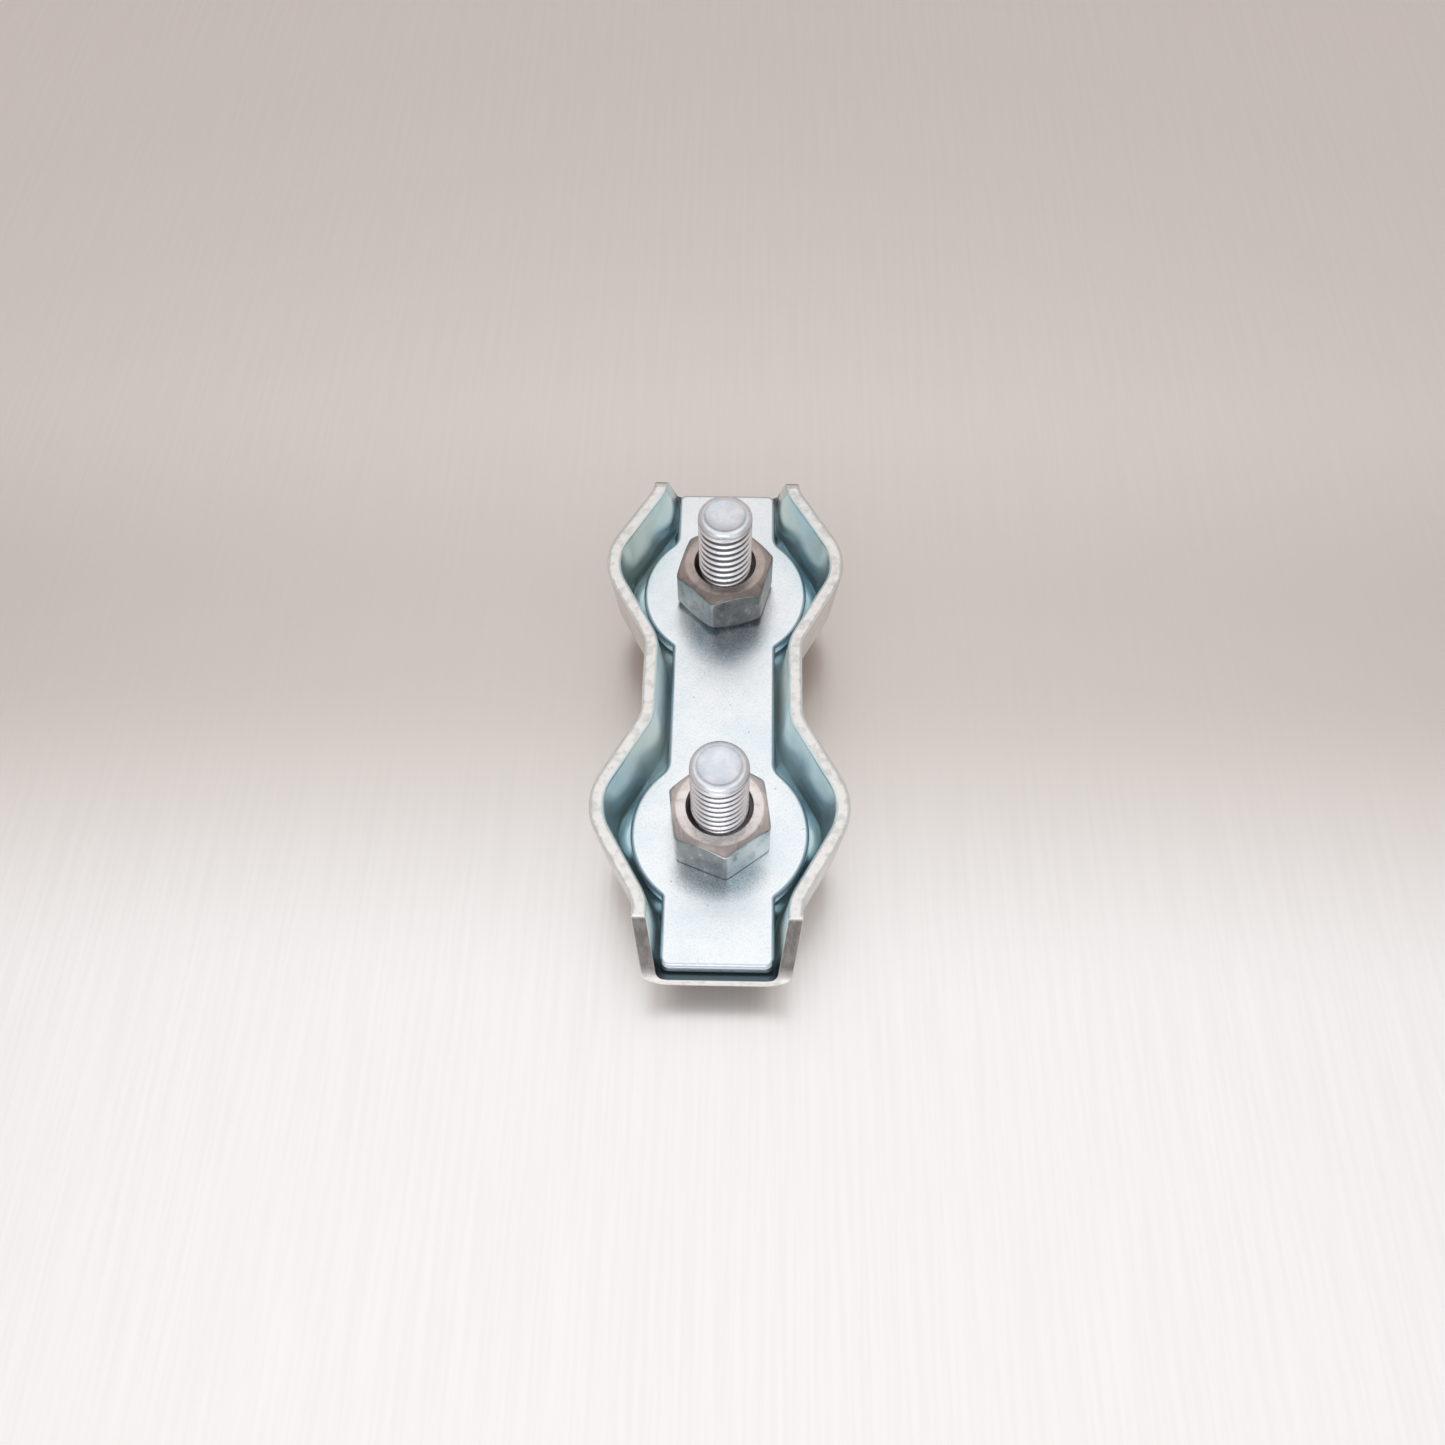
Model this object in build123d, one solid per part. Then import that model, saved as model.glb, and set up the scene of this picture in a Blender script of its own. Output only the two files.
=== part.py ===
from build123d import *
import os
from math import cos, radians, sqrt, tan

# Duplex wire rope clip for two strands of 5 mm rope, in millimetres.
# X runs across the clip, Y along the rope, Z up through the bolts.
# The origin is the middle of the surface that the bolt heads stand on.

# M5 bolts, put in from below
BOLT_PITCH = 25.0
HEAD_FLATS = 8.0
HEAD_HEIGHT = 3.5
SHANK_RADIUS = 2.4
SHANK_LENGTH = 14.35
SHANK_CHAMFER = 0.45

# M5 nuts
NUT_FLATS = 8.0
NUT_HEIGHT = 4.7
NUT_BORE_RADIUS = 2.45
NUT_SINK_RADIUS = 2.83
CHAMFER_START_RADIUS = 3.65
CHAMFER_ANGLE = 34.0
FRONT_NUT_TURN = -82.4
REAR_NUT_TURN = -104.6

# Saddle: a sheet channel with leaning, waved flanges
SHEET = 1.2
SADDLE_LENGTH = 50.5
FLANGE_RISE = 7.75
FLANGE_LEAN = 6.3
INNER_BEND = 1.1
WEB_HOLE_RADIUS = 2.5
WAIST_HALF = 6.93
WAIST_CORNER_Y = 3.8
BULGE_CORNER_HALF = 11.58
BULGE_CORNER_Y = 12.55
TAIL_HALF = 6.8
TAIL_CORNER_Y = 21.1
BULGE_RADIUS = 6.0
HOLLOW_RADIUS = 3.2
END_CUT_RISE = 1.45
FRONT_CUT_TOP_Y = 22.5
REAR_CUT_TOP_Y = 21.9
FRONT_CORNER_RADIUS = 0.3
REAR_CORNER_RADIUS = 1.0

# Clamp plate: a flat bar with a round pad at each bolt
PLATE_THICKNESS = 1.2
PLATE_GAP = 0.45
PLATE_FRONT_Y = -24.7
PLATE_REAR_Y = 24.45
PLATE_HALF = 4.7
PAD_RADIUS = 7.63
PLATE_HOLE_RADIUS = 2.75
PLATE_END_RADIUS = 0.8
PAD_REAR_FILLET = 1.6
PAD_FRONT_FILLET = 0.35
PLATE_EDGE_ROUND = 0.3

BOLT_YS = {"front": -BOLT_PITCH / 2, "rear": BOLT_PITCH / 2}
WEB_BOTTOM = HEAD_HEIGHT
WEB_TOP = WEB_BOTTOM + SHEET
FLANGE_TOP = WEB_BOTTOM + FLANGE_RISE
PLATE_BOTTOM = WEB_TOP + PLATE_GAP
PLATE_TOP = PLATE_BOTTOM + PLATE_THICKNESS
OVERRUN = 4.0


def turned(points):
    """Solid of revolution about Z from (radius, height) points."""
    outline = Plane.XZ * make_face(Polyline(*points, close=True))
    return revolve(outline, Axis.Z)


def hexagon(flats, height, turn):
    """Hexagonal prism standing on z = 0, with a corner at the angle turn."""
    return extrude(RegularPolygon(flats / sqrt(3), 6, rotation=turn), height)


def chamfer_cone(flats, height, at_bottom, at_top):
    """Solid that leaves a hexagon's faces round where it is chamfered."""
    reach = flats / sqrt(3) + 0.1
    drop = (reach - CHAMFER_START_RADIUS) * tan(radians(CHAMFER_ANGLE))
    low = [(CHAMFER_START_RADIUS, 0), (reach, drop)] if at_bottom else [(reach, 0)]
    high = [(reach, height - drop), (CHAMFER_START_RADIUS, height)] if at_top else [(reach, height)]
    return turned([(0, 0)] + low + high + [(0, height)])


def nut(y, turn, both_faces):
    """Hexagon nut on the plate, with a countersunk bore."""
    body = hexagon(NUT_FLATS, NUT_HEIGHT, turn)
    body &= chamfer_cone(NUT_FLATS, NUT_HEIGHT, both_faces, True)
    sink = NUT_SINK_RADIUS - NUT_BORE_RADIUS
    body -= turned([
        (0, 0),
        (NUT_SINK_RADIUS, 0),
        (NUT_BORE_RADIUS, sink),
        (NUT_BORE_RADIUS, NUT_HEIGHT - sink),
        (NUT_SINK_RADIUS, NUT_HEIGHT),
        (0, NUT_HEIGHT),
    ])
    return Pos(0, y, PLATE_TOP) * body


def bolt(y):
    """Hexagon bolt, head down, with its shank up through the saddle."""
    head = hexagon(HEAD_FLATS, HEAD_HEIGHT, 90)
    head &= chamfer_cone(HEAD_FLATS, HEAD_HEIGHT, True, False)
    tip = HEAD_HEIGHT + SHANK_LENGTH
    shank = turned([
        (0, 0),
        (SHANK_RADIUS, 0),
        (SHANK_RADIUS, tip - SHANK_CHAMFER),
        (SHANK_RADIUS - SHANK_CHAMFER, tip),
        (0, tip),
    ])
    return Pos(0, y, 0) * (head + shank)


def flange_outline():
    """Outside of both flanges at their top edge, run past the saddle's ends."""
    end_y = SADDLE_LENGTH / 2 + OVERRUN
    rear = [
        (WAIST_HALF, WAIST_CORNER_Y),
        (BULGE_CORNER_HALF, BULGE_CORNER_Y),
        (TAIL_HALF, TAIL_CORNER_Y),
        (TAIL_HALF, end_y),
    ]
    right = [(x, -y) for x, y in reversed(rear)] + rear
    left = [(-x, y) for x, y in reversed(right)]
    outline = make_face(Polyline(*right, *left, close=True))
    bulges = outline.vertices().filter_by(lambda v: abs(v.X) > BULGE_CORNER_HALF - 0.01)
    outline = fillet(bulges, BULGE_RADIUS)
    hollows = outline.vertices().filter_by(
        lambda v: min(abs(abs(v.Y) - WAIST_CORNER_Y), abs(abs(v.Y) - TAIL_CORNER_Y)) < 0.01
    )
    return fillet(hollows, HOLLOW_RADIUS)


def trough(outline, bottom, bend):
    """Solid inside an outline at the flange top, narrowing down to a rounded floor."""
    body = extrude(Pos(0, 0, FLANGE_TOP) * outline, bottom - FLANGE_TOP, taper=FLANGE_LEAN)
    floor_edges = body.edges().group_by(Axis.Z)[0]
    long_edges = floor_edges.filter_by(lambda e: abs(e.center().X) > 1)
    return fillet(long_edges, bend)


def end_cut(top_y, corner_radius):
    """Prism that slants the rear ends of both flanges back from the web."""
    end_y = SADDLE_LENGTH / 2
    low = WEB_BOTTOM + END_CUT_RISE
    face = make_face(Polyline(
        (end_y, low),
        (top_y, FLANGE_TOP),
        (top_y - OVERRUN, FLANGE_TOP),
        (top_y - OVERRUN, FLANGE_TOP + OVERRUN),
        (end_y + OVERRUN, FLANGE_TOP + OVERRUN),
        (end_y + OVERRUN, low),
        close=True,
    ))
    corner = face.vertices().sort_by_distance((top_y, FLANGE_TOP))[0]
    face = fillet(corner, corner_radius)
    return extrude(Plane.YZ * face, 2 * BULGE_CORNER_HALF, both=True)


def saddle():
    """Channel with waved flanges and two bolt holes."""
    outer = flange_outline()
    inner = offset(outer, -SHEET / cos(radians(FLANGE_LEAN)))
    body = trough(outer, WEB_BOTTOM, INNER_BEND + SHEET)
    body &= Pos(0, 0, FLANGE_TOP / 2) * Box(4 * BULGE_CORNER_HALF, SADDLE_LENGTH, 2 * FLANGE_TOP)
    body -= trough(inner, WEB_TOP, INNER_BEND)
    body -= mirror(end_cut(FRONT_CUT_TOP_Y, FRONT_CORNER_RADIUS), Plane.XZ)
    body -= end_cut(REAR_CUT_TOP_Y, REAR_CORNER_RADIUS)
    for y in BOLT_YS.values():
        body -= Pos(0, y, WEB_BOTTOM) * Cylinder(WEB_HOLE_RADIUS, 4 * SHEET)
    return body


def clamp_plate():
    """Flat bar with round pads that covers the rope strands."""
    length = PLATE_REAR_Y - PLATE_FRONT_Y
    bar = Pos(0, (PLATE_REAR_Y + PLATE_FRONT_Y) / 2) * Rectangle(2 * PLATE_HALF, length)
    bar = fillet(bar.vertices(), PLATE_END_RADIUS)
    outline = bar + [Pos(0, y) * Circle(PAD_RADIUS) for y in BOLT_YS.values()]
    reach = sqrt(PAD_RADIUS**2 - PLATE_HALF**2)
    for side, radius in ((1, PAD_REAR_FILLET), (-1, PAD_FRONT_FILLET)):
        notch_ys = [y + side * reach for y in BOLT_YS.values()]
        notches = outline.vertices().filter_by(
            lambda v: abs(abs(v.X) - PLATE_HALF) < 0.01 and min(abs(v.Y - y) for y in notch_ys) < 0.01
        )
        outline = fillet(notches, radius)
    body = extrude(Pos(0, 0, PLATE_BOTTOM) * outline, PLATE_THICKNESS)
    body = fillet(body.edges().group_by(Axis.Z)[-1], PLATE_EDGE_ROUND)
    for y in BOLT_YS.values():
        body -= Pos(0, y, PLATE_TOP) * Cylinder(PLATE_HOLE_RADIUS, 4 * PLATE_THICKNESS)
    return body


pieces = {
    "saddle": saddle(),
    "clamp_plate": clamp_plate(),
    "bolt_front": bolt(BOLT_YS["front"]),
    "bolt_rear": bolt(BOLT_YS["rear"]),
    "nut_front": nut(BOLT_YS["front"], FRONT_NUT_TURN, both_faces=False),
    "nut_rear": nut(BOLT_YS["rear"], REAR_NUT_TURN, both_faces=True),
}

os.makedirs("parts", exist_ok=True)
for name, shape in pieces.items():
    export_step(shape, f"parts/{name}.step")
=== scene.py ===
"""Looks of a duplex wire rope clip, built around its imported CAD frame."""

import logging
from dataclasses import dataclass, field
from enum import Enum
from math import atan2, cos, hypot, pi, radians, sin, sqrt, tan
from typing import Callable, Iterable, Sequence

import bmesh
import bpy
from mathutils import Matrix, Vector, noise
from mathutils.geometry import tessellate_polygon


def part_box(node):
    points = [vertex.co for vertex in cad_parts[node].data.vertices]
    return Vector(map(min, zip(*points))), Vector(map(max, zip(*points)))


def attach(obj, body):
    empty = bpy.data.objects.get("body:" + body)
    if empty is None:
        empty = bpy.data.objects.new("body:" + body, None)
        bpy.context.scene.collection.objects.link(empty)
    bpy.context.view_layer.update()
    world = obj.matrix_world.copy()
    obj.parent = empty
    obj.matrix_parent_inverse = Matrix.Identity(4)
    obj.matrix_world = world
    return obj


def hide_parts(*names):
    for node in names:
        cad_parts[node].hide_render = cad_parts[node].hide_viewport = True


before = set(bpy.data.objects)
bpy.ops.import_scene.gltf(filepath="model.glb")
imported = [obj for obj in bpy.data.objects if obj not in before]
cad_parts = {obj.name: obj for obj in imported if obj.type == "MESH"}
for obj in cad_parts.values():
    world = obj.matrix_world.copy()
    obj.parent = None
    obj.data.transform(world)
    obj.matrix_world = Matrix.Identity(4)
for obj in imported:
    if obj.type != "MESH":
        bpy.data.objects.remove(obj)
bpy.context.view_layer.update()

MM = 0.001
SAME_PLACE = 0.0005 * MM
BOLT_REACH = 12.5
LOG = logging.getLogger("rope_clip")

Point = tuple[float, float, float]


def jitter(place: Point, scale: float, seed: float) -> float:
    """Smooth noise at a place.

    Args:
        place: Where, in millimetres.
        scale: Length of one lump, in millimetres.
        seed: Picks one of many independent noises.

    Returns:
        A value from about -1 to 1.
    """
    x, y, z = place
    return noise.noise(Vector((x / scale + seed, y / scale - seed, z / scale + 2 * seed)))


# ---------------------------------------------------------------- shader writing


class Value:
    """A node's output socket, with arithmetic that adds Math nodes."""

    def __init__(self, shader: "Shader", socket: bpy.types.NodeSocket) -> None:
        """Wraps a socket of one shader's tree."""
        self.shader = shader
        self.socket = socket

    def maths(self, operation: str, *others: "Value | float", swap: bool = False) -> "Value":
        """Adds one Math node.

        Args:
            operation: Blender's name for the operation.
            others: The other operands.
            swap: Puts this value after the first other one.

        Returns:
            The node's result.
        """
        operands = [self, *others]
        if swap:
            operands[0], operands[1] = operands[1], operands[0]
        made = self.shader.node("ShaderNodeMath", {"operation": operation}, dict(enumerate(operands)))
        return Value(self.shader, made.outputs[0])

    def __add__(self, other: "Value | float") -> "Value":
        """Sum."""
        return self.maths("ADD", other)

    __radd__ = __add__

    def __sub__(self, other: "Value | float") -> "Value":
        """Difference."""
        return self.maths("SUBTRACT", other)

    def __rsub__(self, other: float) -> "Value":
        """Difference, with the number first."""
        return self.maths("SUBTRACT", other, swap=True)

    def __mul__(self, other: "Value | float") -> "Value":
        """Product."""
        return self.maths("MULTIPLY", other)

    __rmul__ = __mul__

    def __truediv__(self, other: "Value | float") -> "Value":
        """Quotient."""
        return self.maths("DIVIDE", other)

    def __abs__(self) -> "Value":
        """Size without the sign."""
        return self.maths("ABSOLUTE")

    def largest(self, other: "Value | float") -> "Value":
        """The larger of two values."""
        return self.maths("MAXIMUM", other)

    def between(self, low: float, high: float) -> "Value":
        """Smooth step.

        Args:
            low: Where the result is 0.
            high: Where the result is 1. It may lie below low.

        Returns:
            The eased result, from 0 to 1.
        """
        start, end, flip = (low, high, False) if low < high else (high, low, True)
        made = self.shader.node(
            "ShaderNodeMapRange",
            {"interpolation_type": "SMOOTHSTEP"},
            {"Value": self, "From Min": start, "From Max": end},
        )
        result = Value(self.shader, made.outputs["Result"])
        return 1 - result if flip else result


class Shader:
    """The node tree of one material or world while it is being written."""

    def __init__(self, owner: bpy.types.Material | bpy.types.World) -> None:
        """Empties the tree and splits the place into x, y and z.

        Args:
            owner: The material, whose places are in millimetres, or the world, whose places are
                directions.
        """
        self.owner = owner
        owner.use_nodes = True
        self.tree = owner.node_tree
        self.tree.nodes.clear()
        places = self.node("ShaderNodeTexCoord").outputs
        if isinstance(owner, bpy.types.World):
            self.place = places["Generated"]
        else:
            self.place = self.vector("SCALE", places["Object"], scale=1 / MM)
        split = self.node("ShaderNodeSeparateXYZ", {}, {0: self.place})
        self.x, self.y, self.z = (Value(self, socket) for socket in split.outputs)

    def node(self, kind: str, settings: dict | None = None, inputs: dict | None = None) -> bpy.types.Node:
        """Adds one node.

        Args:
            kind: Blender's name for the node type.
            settings: Properties to set first.
            inputs: Values or links, by socket name or number.

        Returns:
            The new node.
        """
        made = self.tree.nodes.new(kind)
        for key, setting in (settings or {}).items():
            setattr(made, key, setting)
        for key, given in (inputs or {}).items():
            socket = made.inputs[key]
            if isinstance(given, Value):
                given = given.socket
            if isinstance(given, bpy.types.NodeSocket):
                self.tree.links.new(given, socket)
            elif isinstance(given, tuple) and socket.type == "RGBA":
                socket.default_value = (*given, 1.0)
            else:
                socket.default_value = given
        return made

    def vector(
        self, operation: str, first: object, second: object = None, scale: float | None = None
    ) -> object:
        """Adds one Vector Math node.

        Args:
            operation: Blender's name for the operation.
            first: First vector.
            second: Second vector, where the operation has one.
            scale: The factor of a SCALE operation.

        Returns:
            The resulting vector socket.
        """
        inputs = {0: first}
        if second is not None:
            inputs[1] = second
        if scale is not None:
            inputs["Scale"] = scale
        return self.node("ShaderNodeVectorMath", {"operation": operation}, inputs).outputs[0]

    def lumps(self, size: float, detail: float = 3.0, rough: float = 0.5, seed: float = 0.0,
              stretch: Point = (1.0, 1.0, 1.0)) -> Value:
        """Noise texture.

        Args:
            size: Length of one lump, in millimetres.
            detail: How many finer layers are added.
            rough: How strong the finer layers are.
            seed: Shifts the noise, so that two uses differ.
            stretch: How many times longer the lumps are along each axis.

        Returns:
            Noise from 0 to 1, about 0.5 on average.
        """
        shrink = tuple(1.0 / length for length in stretch)
        place = self.vector("MULTIPLY", self.place, shrink)
        place = self.vector("ADD", place, (seed, 2 * seed, 3 * seed))
        inputs = {"Vector": place, "Scale": 1 / size, "Detail": detail, "Roughness": rough}
        made = self.node("ShaderNodeTexNoise", {}, inputs)
        return Value(self, made.outputs[0])

    def specks(self, size: float, seed: float = 0.0) -> Value:
        """Distance from the nearest of many scattered points.

        Args:
            size: Mean distance between the points, in millimetres.
            seed: Shifts the pattern.

        Returns:
            Distance, as a share of size.
        """
        place = self.vector("ADD", self.place, (seed, seed, seed))
        made = self.node("ShaderNodeTexVoronoi", {}, {"Vector": place, "Scale": 1 / size})
        return Value(self, made.outputs["Distance"])

    def mark(self, name: str) -> Value:
        """A value that the mesh carries at its vertices."""
        return Value(self, self.node("ShaderNodeAttribute", {"attribute_name": name}).outputs["Fac"])

    def mix(self, factor: Value | float, first: object, second: object) -> object:
        """Mixes two colours.

        Args:
            factor: Share of the second colour.
            first: First colour.
            second: Second colour.

        Returns:
            The mixed colour's socket.
        """
        settings = {"data_type": "RGBA", "blend_type": "MIX"}
        return self.node("ShaderNodeMix", settings, {0: factor, 6: first, 7: second}).outputs[2]

    def bump(self, height: Value, depth: float) -> object:
        """Turns a height from 0 to 1 into a normal.

        Args:
            height: The height.
            depth: Depth of a whole unit of height, in millimetres.

        Returns:
            The normal's socket.
        """
        inputs = {"Height": height, "Distance": depth * MM, "Strength": 1.0}
        return self.node("ShaderNodeBump", {}, inputs).outputs[0]

    def metal(
        self, colour: object, rough: Value | float, normal: object, metallic: Value | float = 1.0
    ) -> bpy.types.Material:
        """Closes the tree with a metal surface.

        Args:
            colour: Base colour.
            rough: Roughness.
            normal: Bumped normal.
            metallic: Share of metal in the surface.

        Returns:
            The finished material.
        """
        surface = self.node(
            "ShaderNodeBsdfPrincipled",
            {},
            {"Base Color": colour, "Roughness": rough, "Metallic": metallic, "Normal": normal},
        )
        self.node("ShaderNodeOutputMaterial", {}, {"Surface": surface.outputs[0]})
        return self.owner


# ---------------------------------------------------------------- finishes


@dataclass(frozen=True)
class PassivatedSheet:
    """Zinc with a blue-green passivation, and pale torn metal where the sheet was cut."""

    teal: Point = (0.52, 0.74, 0.80)
    pale: Point = (0.69, 0.88, 0.91)
    olive: Point = (0.78, 0.84, 0.72)
    dull: Point = (0.62, 0.61, 0.59)
    bright: Point = (0.76, 0.75, 0.73)
    cut: Point = (0.93, 0.92, 0.90)
    cut_shadow: Point = (0.68, 0.68, 0.66)
    rim: Point = (0.48, 0.50, 0.49)
    sheared: Point = (0.19, 0.185, 0.18)
    smeared: Point = (0.27, 0.265, 0.26)
    spot: Point = (0.20, 0.17, 0.11)
    # Painted shade under the ends of the plate: its colour, and where along the saddle it lies.
    gap_shade: Point = (0.07, 0.11, 0.125)
    gap: tuple[float, float] = (23.4, 24.3)
    neck: tuple[float, float] = (8.5, 5.0)
    roughness: float = 0.23
    relief: float = 0.05

    def material(self) -> bpy.types.Material:
        """Writes the shader."""
        sh = Shader(bpy.data.materials.new("passivated_sheet"))
        grain = sh.lumps(0.16, detail=3.0, rough=0.6, seed=1.0)
        clouds = sh.lumps(4.0, detail=4.0, rough=0.55, seed=3.0)
        film = sh.mix(clouds.between(0.32, 0.68), self.teal, self.pale)
        tint = sh.lumps(7.0, detail=2.0, seed=8.0).between(0.48, 0.66)
        film = sh.mix(tint * 0.5, film, self.olive)
        stains = sh.specks(1.1, seed=2.0).between(0.10, 0.03) * sh.lumps(6.0, seed=6.0).between(0.52, 0.62)
        film = sh.mix(stains * 0.7, film, self.spot)
        # Painted shade: a dark band on the inner skin near both ends, where the web lies under the plate's
        # ends.
        film = sh.mix(abs(sh.y).between(*self.gap) * 0.92, film, self.gap_shade)
        outside = sh.mix(clouds.between(0.3, 0.7), self.dull, self.bright)
        film = sh.mix(sh.mark("inside"), outside, film)
        torn = sh.lumps(0.85, detail=5.0, rough=0.6, seed=5.0)
        edge = sh.mix(torn.between(0.54, 0.36) * 0.7, self.cut, self.cut_shadow)
        across = sh.mark("across")
        # Darker along the outer side of the torn top edge, in a ragged line.
        dark_outer_rim = (across + 0.30 * (torn - 0.5)).between(0.30, 0.06)
        edge = sh.mix(dark_outer_rim * 0.75, edge, self.rim)
        cut = sh.mark("cut")
        colour = sh.mix(cut, film, edge)
        end = sh.mark("end")
        smear = sh.lumps(0.5, detail=4.0, rough=0.6, seed=4.0, stretch=(1.0, 1.0, 5.0))
        sheared = sh.mix(smear.between(0.38, 0.64), self.sheared, self.smeared)
        colour = sh.mix(end, colour, sheared)
        rough = self.roughness + 0.06 * grain + cut * (0.12 + 0.16 * torn)
        height = grain * 0.05 + clouds * 0.5 + cut * torn * 1.4 + end * smear * 0.4
        neck = abs(sh.y).between(*self.neck)
        metallic = 1 - (0.15 + 0.35 * neck) * sh.mark("inside")
        return sh.metal(colour, rough, sh.bump(height, self.relief), metallic)


@dataclass(frozen=True)
class ZincPlate:
    """Bright satin zinc with a faint blue tint and fine speckle, painted shadows in front of the nuts and
    painted shade on its rounded edges and sides.
    """

    light: Point = (0.93, 0.955, 0.975)
    blue: Point = (0.80, 0.88, 0.93)
    # Colour of the painted shadows that lie in front of the nuts.
    smear: Point = (0.15, 0.26, 0.36)
    shade: Point = (0.64, 0.74, 0.81)
    # The edge colour is painted shade on the plate's rounded top edge, its sides and its underside.
    edge: Point = (0.54, 0.59, 0.68)
    speck: Point = (0.30, 0.33, 0.36)
    # Half-width of the painted shadows, then for each nut the middle and the length of its shadow along the
    # plate.
    nut_shadow_half: float = 4.6
    nut_shadows: tuple[tuple[float, float], ...] = ((-16.4, 3.0), (8.2, 4.6))
    roughness: float = 0.13
    relief: float = 0.014

    def material(self) -> bpy.types.Material:
        """Writes the shader."""
        sh = Shader(bpy.data.materials.new("zinc_plate"))
        clouds = sh.lumps(5.0, detail=4.0, rough=0.6, seed=2.0)
        grain = sh.lumps(0.10, detail=2.0, rough=0.7, seed=7.0)
        patches = (clouds + 0.35 * (grain - 0.5)).between(0.36, 0.66)
        colour = sh.mix(patches * 0.7, self.light, self.blue)
        colour = sh.mix(grain.between(0.50, 0.70) * 0.45, colour, self.shade)
        specks = sh.specks(1.7, seed=4.0).between(0.06, 0.025)
        colour = sh.mix(specks * 0.7, colour, self.speck)
        # Painted shadows: a dark blue, grainy oval on the plate just in front of each nut.
        across = sh.x / self.nut_shadow_half
        for centre, length in self.nut_shadows:
            along = (sh.y - centre) / length
            smear = (across * across + along * along).between(1.0, 0.1)
            colour = sh.mix(smear * (0.38 + 1.5 * (grain - 0.35)), colour, self.smear)
        # Painted shade: the rounded edges, sides and underside are darkened towards a lavender grey.
        colour = sh.mix(sh.mark("edge") * 0.85, colour, self.edge)
        rough = self.roughness + 0.14 * grain + 0.03 * clouds
        height = grain + clouds * 0.3
        return sh.metal(colour, rough, sh.bump(height, self.relief))


@dataclass(frozen=True)
class ZincBolt:
    """Bright zinc on rolled threads, with painted shade in the thread roots."""

    light: Point = (0.93, 0.94, 0.97)
    dull: Point = (0.68, 0.73, 0.80)
    # Painted shade colour for the thread roots.
    shade_and_grime: Point = (0.07, 0.07, 0.085)
    smudge: Point = (0.74, 0.70, 0.66)
    tarnish: Point = (0.34, 0.35, 0.38)
    roughness: float = 0.20
    relief: float = 0.02

    def material(self) -> bpy.types.Material:
        """Writes the shader."""
        sh = Shader(bpy.data.materials.new("zinc_bolt"))
        grain = sh.lumps(0.12, detail=3.0, rough=0.6, seed=6.0)
        clouds = sh.lumps(1.3, detail=4.0, rough=0.6, seed=9.0)
        colour = sh.mix(clouds.between(0.40, 0.66) * 0.55, self.light, self.dull)
        smudges = sh.lumps(1.6, detail=2.0, seed=12.0).between(0.56, 0.68)
        tip = sh.mark("edge")
        colour = sh.mix(tip * (0.45 + 1.6 * (clouds - 0.42)), colour, self.dull)
        colour = sh.mix(smudges * tip * 0.5, colour, self.smudge)
        colour = sh.mix(sh.mark("rim") * (0.35 + 0.5 * clouds), colour, self.tarnish)
        root = sh.mark("root")
        # Painted shade: the thread roots are darkened, where the grooves fall into shade.
        colour = sh.mix((root + 0.2 * (grain - 0.5)).between(0.28, 0.56) * 0.95, colour, self.shade_and_grime)
        rough = self.roughness + 0.12 * grain + 0.2 * root
        return sh.metal(colour, rough, sh.bump(grain * 0.3 + clouds, self.relief))


@dataclass(frozen=True)
class NutSteel:
    """Worn zinc on a cold-formed nut, with painted light and shade on its sides, chamfer, bore and foot."""

    name: str
    top: Point
    chamfer: Point
    # Tones of the shaded and the lit sides of the hexagon: painted light and shade.
    flats: Point
    pale: Point
    worn: Point
    # Dark tone for dirt in the scratches, and for painted shade in the countersink, the bore and along the
    # foot.
    shade_and_grime: Point
    scuffs: float
    rust: float
    rust_spot: Point = (0.30, 0.13, 0.05)
    roughness: float = 0.18
    relief: float = 0.04

    def material(self) -> bpy.types.Material:
        """Writes the shader."""
        sh = Shader(bpy.data.materials.new(self.name))
        grain = sh.lumps(0.14, detail=3.0, rough=0.65, seed=3.0)
        clouds = sh.lumps(0.9, detail=5.0, rough=0.68, seed=5.0)
        # Painted light and shade: each side is mixed from the flats tone to the pale tone, one tone per side.
        sides = sh.mix(sh.mark("pale"), self.flats, self.pale)
        scratch = sh.lumps(1.0, detail=6.0, rough=0.66, seed=2.0, stretch=(1.0, 1.0, 1.6))
        sides = sh.mix(scratch.between(0.50, 0.74) * self.scuffs, sides, self.worn)
        sides = sh.mix(scratch.between(0.50, 0.28) * self.scuffs, sides, self.shade_and_grime)
        # Painted shade: the chamfer is darkened most at its front, by the slant mark.
        crown = sh.mix(sh.mark("slant"), self.top, self.chamfer)
        mottle = clouds.between(0.50, 0.62) * self.scuffs * (0.3 + sh.mark("slant"))
        crown = sh.mix(mottle, crown, self.chamfer)
        colour = sh.mix(sh.mark("rise"), sides, crown)
        edge = sh.mark("edge")
        colour = sh.mix((edge * (0.4 + 1.2 * clouds)).between(0.45, 0.85) * 0.75, colour, self.worn)
        spot = sh.specks(2.2, seed=1.3).between(0.18, 0.05) * edge
        colour = sh.mix(spot * self.rust, colour, self.rust_spot)
        # Painted shade: the countersink and bore are darkened, and a dark contact line is painted along the
        # foot.
        sink = sh.mark("sink")
        colour = sh.mix(sink * (0.8 + 0.4 * (clouds - 0.5)), colour, self.shade_and_grime)
        rough = self.roughness + 0.14 * grain + 0.12 * clouds + 0.2 * sink
        height = grain * 0.3 + clouds * 1.2 + scratch.between(0.5, 0.72) * 0.5
        return sh.metal(colour, rough, sh.bump(height, self.relief))


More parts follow.
